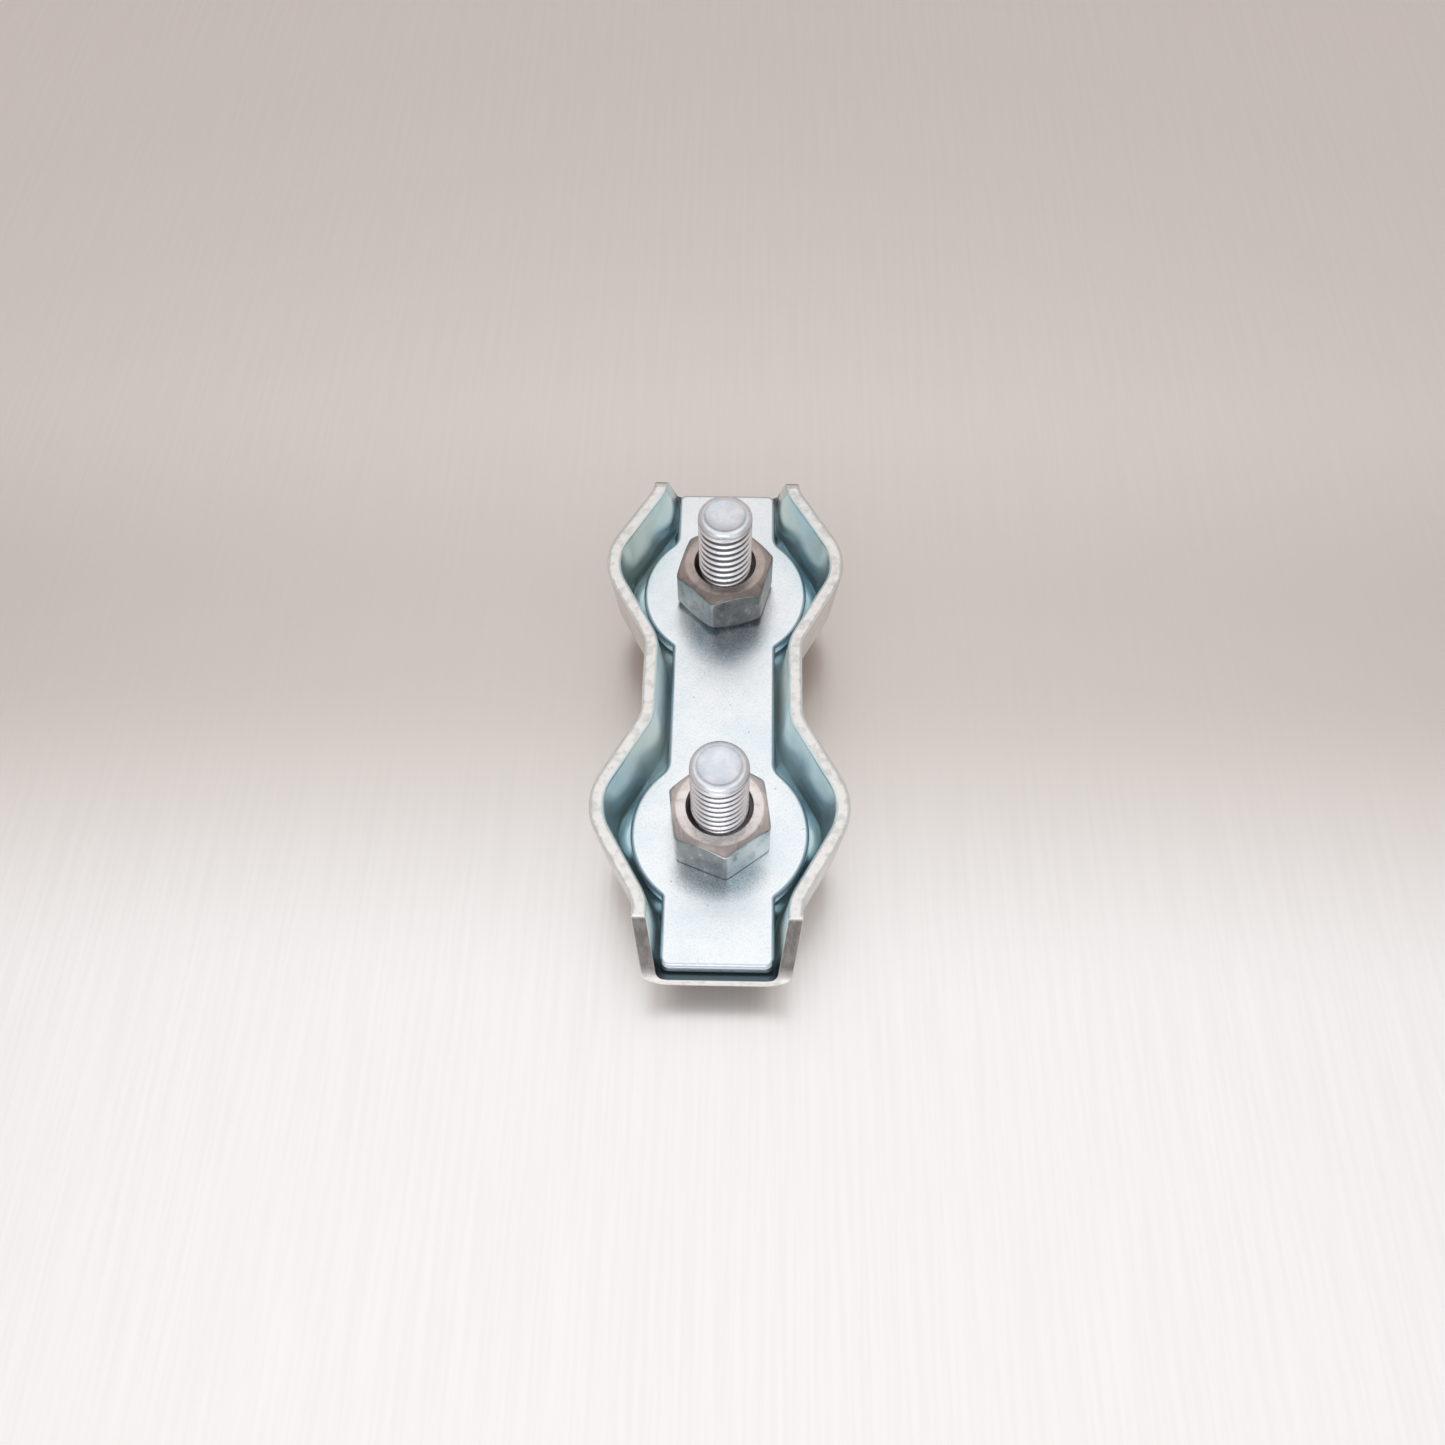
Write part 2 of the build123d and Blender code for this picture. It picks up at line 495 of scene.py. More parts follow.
@dataclass(frozen=True)
class PaleFloor:
    """Pale floor with a satin sheen, with painted light and shade: palest in front and darkest beside the
    clip.
    """

    # Painted light and shade: the floor's tone beside the clip, in front and far behind.
    middle: Point = (0.68, 0.625, 0.585)
    front: Point = (0.95, 0.93, 0.92)
    back: Point = (0.80, 0.755, 0.72)
    streak: Point = (0.60, 0.57, 0.55)
    back_light_ramp: tuple[float, float] = (14.0, 45.0)
    front_light_ramp: tuple[float, float] = (8.0, -26.0)
    sheen: float = 0.75

    def material(self) -> bpy.types.Material:
        """Writes the shader."""
        sh = Shader(bpy.data.materials.new("pale_floor"))
        streaks = sh.lumps(0.5, detail=4.0, rough=0.6, stretch=(1.0, 40.0, 1.0))
        # Painted light and shade: the floor darkens beside the clip and brightens towards the front and the
        # back.
        colour = sh.mix(sh.y.between(*self.back_light_ramp), self.middle, self.back)
        colour = sh.mix(sh.y.between(*self.front_light_ramp), colour, self.front)
        colour = sh.mix(streaks.between(0.3, 0.7) * 0.1, colour, self.streak)
        rough = 0.27 + 0.05 * streaks
        return sh.metal(colour, rough, sh.bump(streaks, 0.01), metallic=self.sheen)


class Finish(Enum):
    """The clip's finishes, each under the name of its material slot."""

    SHEET = "passivated_sheet"
    PLATE = "zinc_plate"
    BOLT = "zinc_bolt"
    PALE_NUT = "pale_nut"
    BROWN_NUT = "brown_nut"

    def write(self) -> bpy.types.Material:
        """Writes this finish's material.

        Returns:
            The new material.
        """
        if self is Finish.SHEET:
            return PassivatedSheet().material()
        if self is Finish.PLATE:
            return ZincPlate().material()
        if self is Finish.BOLT:
            return ZincBolt().material()
        if self is Finish.PALE_NUT:
            return NutSteel(
                name="pale_nut",
                top=(0.90, 0.84, 0.82),
                chamfer=(0.27, 0.24, 0.235),
                flats=(0.27, 0.265, 0.25),
                pale=(0.72, 0.75, 0.74),
                worn=(0.92, 0.88, 0.86),
                shade_and_grime=(0.14, 0.12, 0.12),
                scuffs=0.6,
                rust=0.2,
            ).material()
        return NutSteel(
            name="brown_nut",
            top=(0.54, 0.46, 0.43),
            chamfer=(0.17, 0.145, 0.135),
            flats=(0.16, 0.14, 0.13),
            pale=(0.42, 0.42, 0.41),
            worn=(0.70, 0.67, 0.65),
            shade_and_grime=(0.06, 0.05, 0.05),
            scuffs=0.6,
            rust=1.0,
        ).material()


# ---------------------------------------------------------------- mesh drawing


@dataclass
class Sketch:
    """Vertices and faces of one piece while it is drawn, in millimetres."""

    marks: tuple[str, ...] = ()
    points: list[Point] = field(default_factory=list)
    faces: list[tuple[int, ...]] = field(default_factory=list)
    values: dict[str, list[float]] = field(default_factory=dict)

    def dot(self, place: Point, **marks: float) -> int:
        """Adds one vertex.

        Args:
            place: Where it goes.
            marks: Its values for the named marks. A mark left out is 0.

        Returns:
            The vertex's number.
        """
        self.points.append(place)
        for name in self.marks:
            self.values.setdefault(name, []).append(marks.get(name, 0.0))
        return len(self.points) - 1

    def loop(self, places: Iterable[Point], **marks: float) -> list[int]:
        """Adds a row of vertices with the same marks."""
        return [self.dot(place, **marks) for place in places]

    def bridge(self, first: Sequence[int], second: Sequence[int], closed: bool = False) -> None:
        """Joins two rows of vertices with quads.

        Args:
            first: One row.
            second: The other row, of the same length.
            closed: Joins the rows' ends as well.
        """
        count = len(first)
        for index in range(count if closed else count - 1):
            after = (index + 1) % count
            self.faces.append((first[index], first[after], second[after], second[index]))

    def stack(self, rings: Sequence[Sequence[int]]) -> None:
        """Joins closed rings, one after the other."""
        for first, second in zip(rings, rings[1:]):
            self.bridge(first, second, closed=True)

    def fan(self, ring: Sequence[int], middle: int) -> None:
        """Fills a ring with triangles round a middle vertex."""
        for index, vertex in enumerate(ring):
            self.faces.append((vertex, ring[(index + 1) % len(ring)], middle))

    def fill(self, *rings: Sequence[int]) -> None:
        """Fills a flat, level outline that may have holes.

        Args:
            rings: The outline, then each hole.
        """
        outline = [[Vector(self.points[vertex]) for vertex in ring] for ring in rings]
        numbers = [vertex for ring in rings for vertex in ring]
        for triangle in tessellate_polygon(outline):
            self.faces.append(tuple(numbers[corner] for corner in triangle))

    def make(self, name: str, material: bpy.types.Material, crease: float = 35.0) -> bpy.types.Object:
        """Makes the piece.

        Args:
            name: The piece's name.
            material: Its finish.
            crease: Faces that meet at more than this angle, in degrees, get a sharp edge.

        Returns:
            The new object.
        """
        mesh = bpy.data.meshes.new(name)
        mesh.from_pydata([Vector(place) * MM for place in self.points], [], self.faces)
        for key, numbers in self.values.items():
            mesh.attributes.new(key, "FLOAT", "POINT").data.foreach_set("value", numbers)
        tidy(mesh)
        mesh.materials.append(material)
        mesh.shade_smooth()
        mesh.set_sharp_from_angle(angle=radians(crease))
        piece = bpy.data.objects.new(name, mesh)
        bpy.context.scene.collection.objects.link(piece)
        return piece


def tidy(mesh: bpy.types.Mesh) -> None:
    """Merges doubled vertices, drops empty faces and turns every face outwards.

    Args:
        mesh: The mesh to clean, in metres.
    """
    drawn = bmesh.new()
    drawn.from_mesh(mesh)
    bmesh.ops.remove_doubles(drawn, verts=drawn.verts, dist=SAME_PLACE)
    bmesh.ops.dissolve_degenerate(drawn, edges=drawn.edges, dist=SAME_PLACE)
    bmesh.ops.recalc_face_normals(drawn, faces=drawn.faces)
    loose = [vertex for vertex in drawn.verts if not vertex.link_faces]
    bmesh.ops.delete(drawn, geom=loose, context="VERTS")
    drawn.to_mesh(mesh)
    drawn.free()


def circle(radius: float, centre: tuple[float, float], z: float, count: int) -> list[Point]:
    """Level ring of evenly spaced places."""
    return [(*turn(radius, 2 * pi * index / count, centre), z) for index in range(count)]


def steps(start: float, end: float, count: int) -> list[float]:
    """Evenly spaced numbers, both ends included."""
    return [start + (end - start) * index / (count - 1) for index in range(count)]


def turn(radius: float, angle: float, centre: tuple[float, float] = (0.0, 0.0)) -> tuple[float, float]:
    """Point at a radius and an angle, in radians, from a centre."""
    return centre[0] + radius * cos(angle), centre[1] + radius * sin(angle)


# ---------------------------------------------------------------- the saddle


@dataclass(frozen=True)
class Wave:
    """Plan of a flange: straight runs joined by arcs, alike in front and behind.

    Each corner is (half-width, distance from the middle, arc radius). An inset moves all
    of it inwards by the same amount.
    """

    waist: float = 6.93
    corners: tuple[Point, ...] = ((6.93, 3.8, 3.2), (11.58, 12.55, 6.0), (6.8, 21.1, 3.2))

    def half_width(self, y: float, inset: float) -> float:
        """Distance of the flange from the middle of the saddle.

        Args:
            y: Place along the saddle.
            inset: How far inside the plan.

        Returns:
            The half-width there.
        """
        y = abs(y)
        ends = [(self.waist, 0.0), *((x, along) for x, along, _ in self.corners), (self.corners[-1][0], 99.0)]
        runs = []
        for (x0, y0), (x1, y1) in zip(ends, ends[1:]):
            length = hypot(x1 - x0, y1 - y0)
            runs.append(((x1 - x0) / length, (y1 - y0) / length))
        for index, (x, along, radius) in enumerate(self.corners):
            before, after = runs[index], runs[index + 1]
            side = 1.0 if after[0] > before[0] else -1.0
            bend = abs(atan2(after[0], after[1]) - atan2(before[0], before[1]))
            reach = radius * tan(bend / 2)
            centre_x = x - reach * before[0] + side * radius * before[1]
            centre_y = along - reach * before[1] - side * radius * before[0]
            curve = radius + side * inset
            if y < centre_y + side * curve * before[0]:
                return self._on_run(ends[index], before, y, inset)
            if y < centre_y + side * curve * after[0]:
                return centre_x - side * sqrt(curve**2 - (y - centre_y) ** 2)
        return self._on_run(ends[-2], runs[-1], y, inset)

    @staticmethod
    def _on_run(start: tuple[float, float], heading: tuple[float, float], y: float, inset: float) -> float:
        """Half-width on a straight run."""
        x = start[0] - inset * heading[1]
        along = start[1] + inset * heading[0]
        return x + (y - along) * heading[0] / heading[1]


@dataclass
class Saddle:
    """The sheet channel that the rope lies in."""

    sheet: float = 1.2
    lean: float = radians(6.3)
    inner_bend: float = 1.1
    outer_roll: float = 0.07
    inner_roll: float = 0.15
    end_cut_rise: float = 1.45
    cut_tops: tuple[float, float] = (22.5, 21.9)
    end_corners: tuple[float, float] = (0.3, 1.0)
    hole: float = 2.5
    hole_turns: int = 64
    wave: Wave = field(default_factory=Wave)
    stations: int = 150
    end_stations: int = 12
    end_length: float = 3.0
    web_stations: int = 28
    wall_drops: tuple[float, ...] = (0.0, 0.02, 0.06, 0.12, 0.2, 0.3, 0.45, 0.7)
    edge_shares: tuple[float, ...] = (0.06, 0.16, 0.3, 0.45, 0.6, 0.75, 0.88, 0.96)
    end_shares: tuple[float, ...] = (0.08, 0.3, 0.5, 0.7, 0.92)
    smear_rise: float = 1.5
    smear_stop: float = 0.25
    torn_lump: float = 0.45
    torn_height: float = 0.02
    torn_burr: float = 0.012

    def __post_init__(self) -> None:
        """Takes the levels and the length from the CAD box."""
        low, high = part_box("saddle")
        self.bottom = low.z / MM
        self.top = high.z / MM
        self.end = high.y / MM
        self.outer_bend = self.inner_bend + self.sheet
        self.bend_level = self.bottom + self.outer_bend
        wall_foot = self.bend_level - self.outer_bend * sin(self.lean)
        self.bend_inset = (self.top - wall_foot) * tan(self.lean) + self.outer_bend * cos(self.lean)

    def end_at(self, z: float, which: int) -> float:
        """Distance from the middle to the flange's end at a level, with its top corner rounded.

        Args:
            z: The level.
            which: 0 for the front end, 1 for the rear end.

        Returns:
            The distance.
        """
        cut_level = self.bottom + self.end_cut_rise
        if z <= cut_level:
            return self.end
        slope = (self.end - self.cut_tops[which]) / (self.top - cut_level)
        slant = self.end - (z - cut_level) * slope
        tilt = atan2(slope, 1.0)
        radius = self.end_corners[which]
        centre_z = self.top - radius
        centre_y = self.end - (centre_z - cut_level) * slope - radius / cos(tilt)
        if z > centre_z + radius * sin(tilt):
            return centre_y + sqrt(max(radius**2 - (z - centre_z) ** 2, 0.0))
        return slant

    def rows(self) -> list[tuple[tuple[float, float], tuple[float, float]]]:
        """Section of one flange from its top edge to the start of the flat web.

        Returns:
            Pairs of (inset, level), outside and inside, that face each other across the sheet.
        """
        slope = tan(self.lean)
        through = self.sheet / cos(self.lean)

        def roll(drop: float, radius: float) -> float:
            """How far a rounded top edge is cut back at a depth below the top."""
            return radius - sqrt(radius**2 - max(radius - drop, 0.0) ** 2)

        foot = self.bend_level - self.outer_bend * sin(self.lean)
        inner_foot = self.bend_level - self.inner_bend * sin(self.lean)
        shares = [drop / (self.top - foot) for drop in self.wall_drops] + steps(0.2, 1.0, 12)
        found = []
        for share in shares:
            drop_out = (self.top - foot) * share
            drop_in = (self.top - inner_foot) * share
            outside = (drop_out * slope + roll(drop_out, self.outer_roll), self.top - drop_out)
            inside = (through + drop_in * slope - roll(drop_in, self.inner_roll), self.top - drop_in)
            found.append((outside, inside))
        for angle in steps(self.lean, pi / 2, 10)[1:]:
            pair = []
            for radius in (self.outer_bend, self.inner_bend):
                pair.append((self.bend_inset - radius * cos(angle), self.bend_level - radius * sin(angle)))
            found.append(tuple(pair))
        flat_inset = self.bend_inset + 0.15
        found.append(((flat_inset, self.bottom), (flat_inset, self.bottom + self.sheet)))
        return found

    def ys(self, z: float) -> list[float]:
        """Places of the stations along the saddle at one level."""
        shared = min(self.cut_tops) - self.end_length
        middle = steps(-shared, shared, self.stations)
        front, rear = (steps(shared, self.end_at(z, which), self.end_stations)[1:] for which in (0, 1))
        return [-y for y in reversed(front)] + middle + rear

    def make(self, material: bpy.types.Material) -> bpy.types.Object:
        """Draws the saddle.

        Args:
            material: Its finish.

        Returns:
            The new piece.
        """
        sketch = Sketch(marks=("cut", "across", "end", "inside"))
        rows = self.rows()
        web = {}
        for side in (-1, 1):
            outer = [self._row(sketch, side, inset, z, 0.0) for (inset, z), _ in rows]
            inner = [self._row(sketch, side, inset, z, 1.0) for _, (inset, z) in rows]
            for skin in (outer, inner):
                for first, second in zip(skin, skin[1:]):
                    sketch.bridge(first, second)
            self._edge(sketch, side, outer[0], inner[0], rows[0])
            for end in (0, -1):
                self._end(sketch, [row[end] for row in outer], [row[end] for row in inner])
            web[side] = (outer[-1], inner[-1])
        self._web(sketch, web)
        piece = sketch.make("waved_saddle", material)
        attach(piece, "saddle_and_bolts")
        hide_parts("saddle")
        return piece

    def _row(self, sketch: Sketch, side: int, inset: float, z: float, inside: float) -> list[int]:
        """Vertices along the saddle at one inset and level."""
        return sketch.loop(
            ((side * self.wave.half_width(y, inset), y, z) for y in self.ys(z)), inside=inside
        )

    def _edge(self, sketch: Sketch, side: int, outer: list[int], inner: list[int], row: tuple) -> None:
        """The torn top edge of a flange, between its two skins.

        Args:
            sketch: The saddle's mesh.
            side: 1 for the right flange, -1 for the left one.
            outer: Top row of vertices on the outer skin.
            inner: Top row of vertices on the inner skin.
            row: The rows' insets and levels, outside and inside.
        """
        (inset_out, z), (inset_in, _) = row
        before = outer
        for share in self.edge_shares:
            inset = inset_out + (inset_in - inset_out) * share
            line = []
            for y in self.ys(z):
                x = side * self.wave.half_width(y, inset)
                lift = self.torn_height * (jitter((x, y, z), self.torn_lump, 3.0) - 1)
                line.append((x, y, z + lift - self.torn_burr * (share < 0.2)))
            now = sketch.loop(line, cut=1.0, across=share)
            sketch.bridge(before, now)
            before = now
        sketch.bridge(before, inner)

    def _end(self, sketch: Sketch, outer: list[int], inner: list[int]) -> None:
        """The cut end of a flange or of the web: smeared dark up the flange, pale on the web.

        Args:
            sketch: The saddle's mesh.
            outer: Row of vertices on the outer skin.
            inner: Row of vertices that face them on the inner skin.
        """
        before = outer
        for share in self.end_shares:
            now = []
            for out, into in zip(outer, inner):
                place = Vector(sketch.points[out]).lerp(Vector(sketch.points[into]), share)
                risen = (place.z - self.bottom - self.sheet) / self.smear_rise
                smeared = min(max(risen, 0.0), max((self.top - place.z) / self.smear_stop, 0.0), 1.0)
                now.append(sketch.dot(tuple(place), end=smeared, cut=0.9 * (1 - smeared), across=0.6))
            sketch.bridge(before, now)
            before = now
        sketch.bridge(before, inner)

    def _web(self, sketch: Sketch, web: dict) -> None:
        """The flat floor with its two bolt holes, and its cut ends.

        Args:
            sketch: The saddle's mesh.
            web: The last rows of each flange, outside and inside, by side.
        """
        ends = {}
        for skin in (0, 1):
            left, right = web[-1][skin], web[1][skin]
            z = sketch.points[left[0]][2]
            for end in (0, -1):
                x0, y0, _ = sketch.points[left[end]]
                x1 = sketch.points[right[end]][0]
                between = steps(x0, x1, self.web_stations)[1:-1]
                inner = sketch.loop(((x, y0, z) for x in between), inside=float(skin))
                ends[skin, end] = [left[end], *inner, right[end]]
            outline = [*left, *ends[skin, -1][1:-1], *reversed(right), *reversed(ends[skin, 0][1:-1])]
            holes = []
            for y in (-BOLT_REACH, BOLT_REACH):
                rim = circle(self.hole, (0.0, y), z, self.hole_turns)
                holes.append(sketch.loop(rim, inside=float(skin)))
            sketch.fill(outline, *holes)
            ends[skin, "holes"] = holes
        for below, above in zip(ends[0, "holes"], ends[1, "holes"]):
            sketch.bridge(below, above, closed=True)
        for end in (0, -1):
            self._end(sketch, ends[0, end], ends[1, end])


# ---------------------------------------------------------------- the clamp plate


@dataclass
class ClampPlate:
    """The flat bar with a round pad at each bolt."""

    half: float = 4.7
    pad: float = 7.63
    end_radius: float = 0.8
    rear_fillet: float = 1.6
    front_fillet: float = 0.35
    hole: float = 2.75
    hole_turns: int = 48
    edge_round: float = 0.34
    support: float = 0.1
    foot_chamfer: float = 0.06
    foot_support: float = 0.2

    def __post_init__(self) -> None:
        """Takes the levels and the ends from the CAD box."""
        low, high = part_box("clamp_plate")
        self.bottom, self.top = low.z / MM, high.z / MM
        self.front, self.rear = low.y / MM, high.y / MM

    def right_side(self) -> list[tuple[float, float]]:
        """Right half of the outline, from front to rear."""
        corner = self.end_radius
        inner = self.half - corner
        line = [turn(corner, a, (inner, self.front + corner)) for a in steps(-pi / 2, 0, 8)]
        for bolt_y in (-BOLT_REACH, BOLT_REACH):
            front_angle, front_bend = self._notch(bolt_y, self.front_fillet, -1)
            rear_angle, rear_bend = self._notch(bolt_y, self.rear_fillet, 1)
            line += front_bend
            line += [turn(self.pad, a, (0.0, bolt_y)) for a in steps(-front_angle, rear_angle, 44)[1:-1]]
            line += reversed(rear_bend)
        line += [turn(corner, a, (inner, self.rear - corner)) for a in steps(0, pi / 2, 8)]
        return line

    def _notch(self, bolt_y: float, radius: float, side: int) -> tuple[float, list[tuple[float, float]]]:
        """Hollow fillet between the bar's straight side and a pad.

        Args:
            bolt_y: Middle of the pad.
            radius: The fillet's radius.
            side: 1 behind the pad, -1 in front of it.

        Returns:
            The angle on the pad where the fillet starts, and the fillet from the bar to the pad.
        """
        across = self.half + radius
        along = sqrt((self.pad + radius) ** 2 - across**2)
        angle = atan2(along, across)
        centre = (across, bolt_y + side * along)
        sweep = steps(pi, pi + side * angle, 8)
        return angle, [turn(radius, a, centre) for a in sweep]

    def make(self, material: bpy.types.Material) -> bpy.types.Object:
        """Draws the plate.

        Args:
            material: Its finish.

        Returns:
            The new piece.
        """
        sketch = Sketch(marks=("edge",))
        right = self.right_side()
        outline = right + [(-x, y) for x, y in reversed(right)]
        count = len(outline)
        normals = []
        for index in range(count):
            (x0, y0), (x1, y1) = outline[index - 1], outline[(index + 1) % count]
            length = hypot(x1 - x0, y1 - y0)
            normals.append(((y1 - y0) / length, -(x1 - x0) / length))
        rounding = self.edge_round
        thickness = self.top - self.bottom
        section = [(rounding + self.support, 0.0)]
        section += [(rounding * (1 - sin(a)), rounding * (1 - cos(a))) for a in steps(0, pi / 2, 7)]
        section += [(0.0, depth) for depth in steps(0.45, thickness - 0.08, 5)]
        section += [(self.foot_chamfer, thickness), (self.foot_support, thickness)]
        rings = []
        for index, (inset, depth) in enumerate(section):
            places = []
            for (x, y), (nx, ny) in zip(outline, normals):
                places.append((x - nx * inset, y - ny * inset, self.top - depth))
            rings.append(sketch.loop(places, edge=0.0 if index < 2 else 1.0))
        sketch.stack(rings)
        holes = {}
        for z in (self.top, self.bottom):
            holes[z] = []
            for bolt_y in (-BOLT_REACH, BOLT_REACH):
                holes[z].append(sketch.loop(circle(self.hole, (0.0, bolt_y), z, self.hole_turns)))
        sketch.fill(rings[0], *holes[self.top])
        sketch.fill(rings[-1], *holes[self.bottom])
        for above, below in zip(holes[self.top], holes[self.bottom]):
            sketch.bridge(above, below, closed=True)
        piece = sketch.make("padded_plate", material)
        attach(piece, "plate")
        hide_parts("clamp_plate")
        return piece


# ---------------------------------------------------------------- bolts and nuts


@dataclass
class Hexagon:
    """Side and chamfers of a hexagon head or nut."""

    flats: float = 8.0
    corner_round: float = 0.16
    chamfer_start: float = 3.65
    chamfer: float = radians(34.0)
    turns: int = 144
    blend: float = 0.05

    def radius(self, angle: float, corner: float) -> float:
        """Distance from the axis to the side, with the corners slightly rounded.

        Args:
            angle: Direction, in radians.
            corner: Direction of one corner, in radians.

        Returns:
            The distance.
        """
        sector = pi / 3
        off = (angle - corner + sector / 2) % sector - sector / 2
        face = self.flats / 2 / cos(sector / 2 - abs(off))
        cap = self.flats / 2 / cos(sector / 2) - self.corner_round / 2
        soft = cap / cos(off)
        gap = (face - soft) / self.blend
        return (face + soft - self.blend * sqrt(gap * gap + 1.0)) / 2 + self.blend * 0.02

    def angles(self) -> list[float]:
        """Directions of the vertices round the axis."""
        return [2 * pi * index / self.turns for index in range(self.turns)]

    def part_way(self, sides: Sequence[float], share: float) -> list[float]:
        """Radii a share of the way out over the chamfer, one for each direction."""
        return [self.chamfer_start + (side - self.chamfer_start) * share for side in sides]

    def drop(self, radius: float) -> float:
        """How far the chamfer cone lies below the face at a radius."""
        return max(radius - self.chamfer_start, 0.0) * tan(self.chamfer)


@dataclass
class Thread:
    """Right-hand M5 thread on a bolt or in a nut."""

    pitch: float = 0.8
    steps_per_pitch: int = 12
    depth: float = 0.38
    roundness: float = 0.9

    def share(self, phase: float) -> float:
        """Depth of the rounded groove at a phase from 0 to 1, as a share of the full depth."""
        return (0.5 - 0.5 * cos(2 * pi * phase)) ** self.roundness

    def wind(
        self,
        sketch: Sketch,
        angles: Sequence[float],
        levels: tuple[float, float],
        add: Callable[[float, float, float], int],
    ) -> list[list[int]]:
        """Winds a threaded wall out of rows that climb with the thread.

        Args:
            sketch: The piece's mesh.
            angles: Directions of the columns of vertices.
            levels: Where the wall starts and ends.
            add: Adds one vertex, from its direction, its level and the groove's share of full depth.

        Returns:
            The columns, each from bottom to top.
        """
        bottom, top = levels
        per_turn = self.steps_per_pitch
        rise = self.pitch / per_turn
        count = int((top - bottom) / rise) + per_turn + 2
        columns = []
        for index, angle in enumerate(angles):
            climb = self.pitch * index / len(angles)
            column = []
            for row in range(count):
                held = min(max(bottom + (row - per_turn) * rise + climb, bottom), top)
                column.append(add(angle, held, self.share((row % per_turn) / per_turn)))
            columns.append(column)
        for first, second in zip(columns, columns[1:]):
            sketch.bridge(first, second)
        sketch.bridge(columns[-1][:-per_turn], columns[0][per_turn:])
        return columns


@dataclass
class HexBolt:
    """A bolt, head down."""

    end: str
    corner: float = radians(90.0)
    head: Hexagon = field(default_factory=Hexagon)
    thread: Thread = field(default_factory=Thread)
    head_height: float = 3.5
    shank: float = 2.4
    tip_round: float = 0.5
    run_in: float = 0.8
    run_out: float = 0.5
    face_rings: tuple[float, ...] = (1.2, 2.4, 3.3)
    chamfer_shares: tuple[float, ...] = (0.35, 0.7, 0.95)
    support: float = 0.04
    head_round: float = 0.06
    top_ring: float = 3.2
    tip_sink: float = 0.06

    def make(self, material: bpy.types.Material) -> bpy.types.Object:
        """Draws the bolt.

        Args:
            material: Its finish.

        Returns:
            The new piece.
        """
        node = f"bolt_{self.end}"
        low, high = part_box(node)
        centre_y = (low.y + high.y) / 2 / MM
        tip = high.z / MM
        sketch = Sketch(marks=("root", "edge", "rim"))
        self._head(sketch, centre_y)
        self._shank(sketch, centre_y, tip)
        piece = sketch.make(f"{self.end}_bolt", material)
        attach(piece, "saddle_and_bolts")
        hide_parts(node)
        return piece

    def _head(self, sketch: Sketch, centre_y: float) -> None:
        """The head, from the middle of its free face to the shank.

        Args:
            sketch: The bolt's mesh.
            centre_y: The bolt's place along the saddle.
        """
        angles = self.head.angles()
        sides = [self.head.radius(a, self.corner) for a in angles]

        def ring(radii: Sequence[float], levels: Sequence[float], **marks: float) -> list[int]:
            """One ring of vertices, with a radius and a level for each direction."""
            return sketch.loop(
                ((*turn(r, a, (0.0, centre_y)), z) for r, a, z in zip(radii, angles, levels)), **marks
            )

        count = len(angles)
        flat = (*self.face_rings, self.head.chamfer_start)
        rings = [ring([radius] * count, [0.0] * count) for radius in flat]
        for share in self.chamfer_shares:
            radii = self.head.part_way(sides, share)
            rings.append(ring(radii, [self.head.drop(r) for r in radii]))
        feet = [self.head.drop(side) for side in sides]
        rings.append(ring(sides, [foot + self.support for foot in feet], edge=1.0))
        for share in steps(0.15, 0.95, 5):
            rings.append(ring(sides, [foot + (self.head_height - foot) * share for foot in feet]))
        rings.append(ring(sides, [self.head_height - self.head_round] * count, edge=1.0))
        rounded = [side - self.head_round for side in sides]
        for radii in (rounded, [self.top_ring] * count, [self.shank] * count):
            rings.append(ring(radii, [self.head_height] * count))
        middle = sketch.dot((0.0, centre_y, 0.0))
        sketch.fan(rings[0], middle)
        sketch.stack(rings)

    def _shank(self, sketch: Sketch, centre_y: float, tip: float) -> None:
        """The threaded shank, as rows that climb with the thread.

        Args:
            sketch: The bolt's mesh.
            centre_y: The bolt's place along the saddle.
            tip: Level of the shank's end.
        """
        start = self.head_height
        end = tip - self.tip_round

        def add(angle: float, level: float, share: float) -> int:
            """One vertex, with the groove fading out at both ends."""
            share *= min(max((level - start) / self.run_in, 0.0), (end - level) / self.run_out, 1.0)
            x, y = turn(self.shank - self.thread.depth * share, angle, (0.0, centre_y))
            return sketch.dot((x, y, level), root=share)

        columns = self.thread.wind(sketch, self.head.angles(), (start, end), add)
        self._tip(sketch, centre_y, tip, [column[-1] for column in columns])

    def _tip(self, sketch: Sketch, centre_y: float, tip: float, base: list[int]) -> None:
        """The rounded end of the shank, and its slightly sunk face.

        Args:
            sketch: The bolt's mesh.
            centre_y: The bolt's place along the saddle.
            tip: Level of the shank's end.
            base: The ring of vertices where the rounding starts.
        """
        rounding = self.tip_round
        face = self.shank - rounding
        base_level = tip - rounding
        section = [(face + rounding * cos(a), base_level + rounding * sin(a), 0.0) for a in steps(0, 1.3, 7)]
        section += [(face, tip, 0.6), (face - 0.1, tip - 0.02, 1.0), (face - 0.3, tip - 0.05, 0.3)]
        section += [(radius, tip - self.tip_sink, 0.0) for radius in (0.9, 0.4)]
        ring = base
        for radius, level, rim in section[1:]:
            places = ((*turn(radius, a, (0.0, centre_y)), level) for a in self.head.angles())
            after = sketch.loop(places, edge=1.0, rim=rim)
            sketch.bridge(ring, after, closed=True)
            ring = after
        sketch.fan(ring, sketch.dot((0.0, centre_y, tip - self.tip_sink), edge=1.0))


